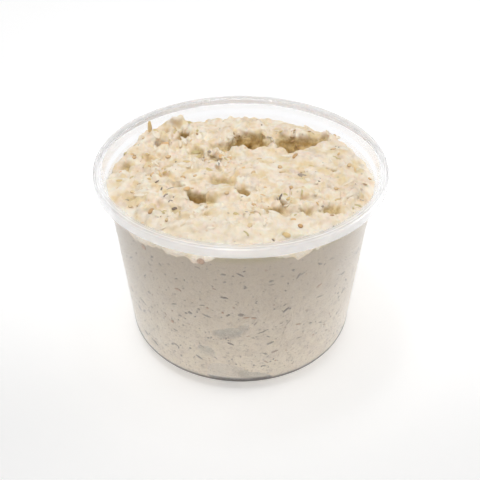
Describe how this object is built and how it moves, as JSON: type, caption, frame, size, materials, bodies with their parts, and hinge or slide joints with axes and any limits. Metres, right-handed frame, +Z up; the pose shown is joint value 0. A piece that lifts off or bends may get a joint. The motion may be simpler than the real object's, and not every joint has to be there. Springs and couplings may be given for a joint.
{
  "type": "tub of baba ganoush",
  "caption": "Round clear plastic tub with a flat ring rim and skirt, filled with a lumpy, spooned aubergine dip that mounds up to the rim.",
  "frame": {"origin": "centre of the tub's base, on the surface it stands on", "axes": "+Z up along the tub's axis; -Y towards the side that shows the air pockets behind the wall"},
  "size_m": [0.117, 0.117, 0.0801],
  "materials": {
    "clear_plastic": "clear moulded polypropylene, smooth and slightly hazy",
    "dip": "cream-coloured moist dip with small seeds and charred flecks"
  },
  "bodies": {
    "root": {"tub": "clear_plastic", "dip": "dip"}
  },
  "joints": []
}
